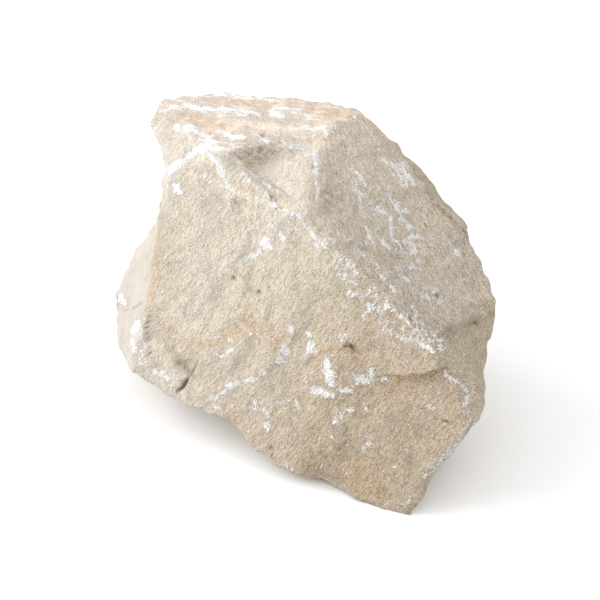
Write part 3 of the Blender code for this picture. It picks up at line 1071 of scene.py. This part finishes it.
# %% The rock's own colour, with painted shade, browned and stained
SHOULDER_SPLIT, STREAK_STRETCH, STREAK_SIZE = (0.0, 0.45, -1.10), 6.0, 0.0032
TOP_SPLIT, BAND_STRETCH, BAND_SIZE = (0.0, -0.05, -0.42), 12.0, 0.0038
DARKENING_PATCH, DARKENING_SHIFT = 0.030, 0.012
STAIN_PATCH = 0.0038
BREAK_PAINTS = {"bay_floor": (LIT_BAY_DUN, 1.0), "crown_front": (PALE_DUN, 0.8),
                "crown_left": (CROWN_DUN, 0.8), "slab": (CREAM, 0.9)}


def shade_and_browning(rock, where):
    """How far the rock is darkened, from 0 to 1: the most of a painted shade that rises with the way right
    and down and a browner tone that rises with the way back.
    """
    across, depth, up = (rock.add("ShaderNodeSeparateXYZ", {}, {"Vector": where}, output=axis)
                         for axis in ("X", "Y", "Z"))
    patches = rock.noise(where, DARKENING_PATCH) * DARKENING_SHIFT
    # Right and down the rock is darkened as a painted shade away from the lamp; towards the back it is
    # browner.
    beside = (across - up * 0.8 + patches).over(-0.16, -0.01)
    behind = (depth - up * 0.5 + patches * 2).over(-0.08, 0.06) * 0.9
    return beside.math("MAXIMUM", beside, behind * (1 - rock.attribute("top")))


def top_bands(rock, where):
    """Lumps drawn out into long bands, as they show on the top."""
    drawn_out = rock.stretched(where, TOP_SPLIT, BAND_STRETCH)
    return rock.noise(drawn_out, BAND_SIZE, detail=4.0, roughness=0.6)


def rock_colour(rock, where, shaded_and_browned):
    """Dun, tipped towards other duns by place and by the breaks' attributes, and then stained."""
    # The painted shade to the right, the browner back and the lower front tip the dun towards brown.
    colour = rock.mix(DUN, BROWN_DUN, shaded_and_browned * 0.75 + rock.attribute("lower_front") * 0.35)
    shoulder, top, rim = (rock.attribute(name) for name in ("right_shoulder", "top", "bay_rim"))
    aside = shoulder.math("MAXIMUM", shoulder, rock.attribute("bay_end")).over(0.4, 0.8)
    colour = rock.mix(colour, GREY_DUN, aside * 0.65)
    drawn_out = rock.stretched(where, SHOULDER_SPLIT, STREAK_STRETCH)
    streaks = rock.noise(drawn_out, STREAK_SIZE, detail=3.0).over(0.5, 1.3)
    colour = rock.mix(colour, CALCITE, streaks * shoulder * 0.4)
    bands = top_bands(rock, where)
    banded = rock.mix(OCHRE_STAIN, PINK_DUN, bands.over(-1.3, -0.1))
    banded = rock.mix(banded, CALCITE, bands.over(0.2, 0.6) * 0.8)
    colour = rock.mix(colour, banded, top * 0.9 + rim * 0.4)
    for name, (own_colour, share_of_it) in BREAK_PAINTS.items():
        colour = rock.mix(colour, own_colour, rock.attribute(name) * share_of_it)
    patches = rock.noise(where, STAIN_PATCH, detail=4.0) * 0.6 + 0.42
    colour = rock.mix(colour, OCHRE_STAIN, rock.attribute("ochre") * patches)
    # The brown rows are brown stains and painted shade.
    colour = rock.mix(colour, UMBER, rock.attribute("brown_and_shade") * (patches * 1.4))
    # Cracks and pits are painted umber by their depth, a painted shade in them, as is the painted shade under
    # drops.
    return rock.mix(colour, UMBER, rock.attribute("crack_and_shade") * 0.45)


print(len(BREAK_PAINTS), "breaks have a paint of their own; bands", 1000 * BAND_SIZE, "mm wide")

# %% [markdown]
# ## White calcite
#
# Crushed calcite lies on the rock as torn strokes, as a crust on sharp edges, and as flecks. A brush with a
# ragged edge could paint it, but its tearing has to follow the rock: the closeness that the mesh carries is
# frayed by noise drawn out the way the rock split, one way on the front, another on the right shoulder and
# along the bands on top. Crumbs, finer still, break up the rims.

# %% Where the calcite lies
FRONT_SPLIT, FRONT_STRETCH, SHOULDER_STRETCH = (0.0, -0.93, 0.27), 2.2, 3.0
TEAR_GRAIN, CRUST_PATCH = 0.0028, 0.03
SPECK_SIZE, SPECK_PATCH = 0.0022, 0.02


def split_noise(rock, where, size, detail, roughness=0.5):
    """Lumps drawn out the way the rock split: one way on the right shoulder and another elsewhere."""
    shoulder = rock.attribute("right_shoulder")
    front = rock.noise(rock.stretched(where, FRONT_SPLIT, FRONT_STRETCH), size, detail, roughness)
    aside = rock.noise(rock.stretched(where, SHOULDER_SPLIT, SHOULDER_STRETCH), size, detail, roughness)
    return front * (1 - shoulder) + aside * shoulder


def calcite_cover(rock, where, crumbs):
    """Where calcite hides the rock, from 0 to 1. Strokes, crust, specks and flecks are each a sum of how
    close they are and how the noise stands there, cut off at a threshold; the most of them counts."""
    calcite, sharp, top = (rock.attribute(name) for name in ("calcite", "sharpness", "top"))
    torn = split_noise(rock, where, TEAR_GRAIN, 4.0, 0.8) * (1 - top) + top_bands(rock, where) * top
    strokes = (calcite * 0.45 + torn * 1.2 + crumbs * 0.7).over(-0.05, 0.3)
    worn = sharp.math("MINIMUM", sharp * 1.1, 1.0)
    crust = (worn + torn * 0.9 + crumbs * 0.4 + rock.noise(where, CRUST_PATCH) * 0.5).over(1.15, 1.55)
    specks = rock.noise(where, SPECK_SIZE, detail=0.0) + rock.noise(where, SPECK_PATCH) * 0.3
    flecks = (rock.attribute("flecked") * 1.7 + torn * 1.2 + crumbs * 0.5).over(1.8, 2.1)
    cover = strokes.math("MAXIMUM", strokes, crust * 0.85 + specks.over(1.2, 1.4) * 0.6)
    cover = cover.math("MAXIMUM", cover, flecks * 0.9)
    cover = cover * (0.84 + crumbs * 0.25)
    return cover * (1 - rock.attribute("right_shoulder") * 0.1)


print("calcite tears in strips", 1000 * TEAR_GRAIN * FRONT_STRETCH, "mm long")

# %% [markdown]
# ## The finish of the limestone
#
# The finish is built from the inside out: the rock's own colour, a grain of darker and paler crystals, and
# last the calcite, which lies on top and shines a little more. The grain is too fine for the mesh, so a bump
# stands in for it, with every part's height given in millimetres. Its colour follows the bump: paler on the
# lumps and darker in the hollows and pores, a painted highlight and painted shade. The slab, the crown's left
# and the top split along smooth beds, so their grain is fainter.

# %% The limestone material
SAND, CRYSTALS, FINE, PORES, CRUMBS = 0.0021, 0.0008, 0.0012, 0.0014, 0.0011
BEDS, CLOUDS = 0.009, 0.028
SMOOTH_BREAKS = {"slab": 0.8, "crown_left": 0.4, "top": 0.4}


def limestone():
    """The rock's colour under its grain and its calcite, then the gloss and the sandy bump."""
    rock = Material("limestone")
    where = rock.add("ShaderNodeTexCoord", {}, {}, output="Object")
    rough = 1 - sum(rock.attribute(name) * loss for name, loss in SMOOTH_BREAKS.items())
    shoulder, shaded_and_browned = rock.attribute("right_shoulder"), shade_and_browning(rock, where)

    sand = split_noise(rock, where, SAND, 2.0, 0.65) * rough
    crystals = rock.noise(where, CRYSTALS, detail=0.0) * rough
    # The pores are painted darker, a painted shade in them. The sand and the crystals that raise the bump
    # also pale its lumps and darken its hollows, a painted highlight and painted shade, more so where the
    # painted shade lies to the right.
    shaded_pores = (rock.noise(where, PORES, detail=0.0) * -1 + rough).over(2.15, 2.4)
    tones_and_relief_shade = (sand + crystals * 1.5) * (0.11 + shaded_and_browned * 0.06 + shoulder * 0.02)
    tones_and_relief_shade = tones_and_relief_shade + rock.noise(where, BEDS) * 0.06 + rock.noise(where, CLOUDS) * 0.05
    cover = calcite_cover(rock, where, rock.noise(where, CRUMBS, detail=1.0))
    colour = rock.add("ShaderNodeVectorMath", {"operation": "SCALE"},
                      {0: rock.mix(rock_colour(rock, where, shaded_and_browned), CALCITE, cover),
                       "Scale": tones_and_relief_shade * (1 - cover * 0.7) - shaded_pores * 0.25 + 1})

    height = sand * (0.95 + shaded_and_browned * 0.3 + shoulder * 0.15)
    height = height + split_noise(rock, where, FINE, 1.0) * rough * 0.3
    height = height + crystals * 0.25 - shaded_pores * 0.3 + cover * 0.5
    bump = rock.add("ShaderNodeBump", {}, {"Strength": 1.0, "Distance": MILLIMETRE, "Height": height})
    rock.feed(rock.shader, {"Base Color": colour, "Roughness": 0.9 - cover * 0.25, "Normal": bump,
                            "Specular IOR Level": 0.3})
    return rock.data


stone.data.materials.append(limestone())
print("limestone has", len(stone.data.materials[0].node_tree.nodes), "nodes")

# %% [markdown]
# ## Floor and light
#
# The stone stands on a plain white floor in a soft studio light: one large lamp on the left, a little above
# and behind, and a white surround that fills the shadows. A sky texture could light it too, but a lamp and
# a surround can be set apart, which makes the bright left sides and the greyer right side easy to set.

# %% Floor, lamp and surround
FLOOR_SIDE, FLOOR_LEVEL = 8.0, -0.0003
LAMP_BEARING, LAMP_LEAN, LAMP_DISTANCE = -100, 28, 3.2
LAMP_SIDE, LAMP_POWER = 2.9, 88.0
SURROUND = 1.17
FLOOR_WHITE, FLOOR_ROUGH = 0.9, 0.9


def lay_floor():
    """A square sheet just under the resting face."""
    half = FLOOR_SIDE / 2
    corners = [(x * half, y * half, FLOOR_LEVEL) for x, y in ((-1, -1), (1, -1), (1, 1), (-1, 1))]
    sheet = bpy.data.meshes.new("floor")
    sheet.from_pydata(corners, [], [(0, 1, 2, 3)])
    floor = bpy.data.objects.new("floor", sheet)
    bpy.context.scene.collection.objects.link(floor)
    plaster = Material("white_floor")
    plaster.feed(plaster.shader, {"Base Color": (*[FLOOR_WHITE] * 3, 1), "Roughness": FLOOR_ROUGH})
    sheet.materials.append(plaster.data)
    return floor


def hang_lamp():
    """A square lamp that looks at the heart of the stone."""
    lamp = bpy.data.lights.new("key_lamp", "AREA")
    lamp.size = LAMP_SIDE
    lamp.energy = LAMP_POWER
    holder = bpy.data.objects.new("key_lamp", lamp)
    toward = Vector(facing(LAMP_BEARING, LAMP_LEAN))
    holder.location = Vector(HEART) + toward * LAMP_DISTANCE
    holder.rotation_euler = toward.to_track_quat("Z", "Y").to_euler()
    bpy.context.scene.collection.objects.link(holder)


def surround(strength):
    """An even white surround."""
    world = bpy.data.worlds.new("surround")
    world.use_nodes = True
    world.node_tree.nodes["Background"].inputs["Color"].default_value = (1, 1, 1, 1)
    world.node_tree.nodes["Background"].inputs["Strength"].default_value = strength
    bpy.context.scene.world = world


lay_floor()
hang_lamp()
surround(SURROUND)
bpy.context.scene.view_settings.view_transform = "Standard"
print("lamp of", LAMP_POWER, "W at", LAMP_DISTANCE, "m; surround", SURROUND)
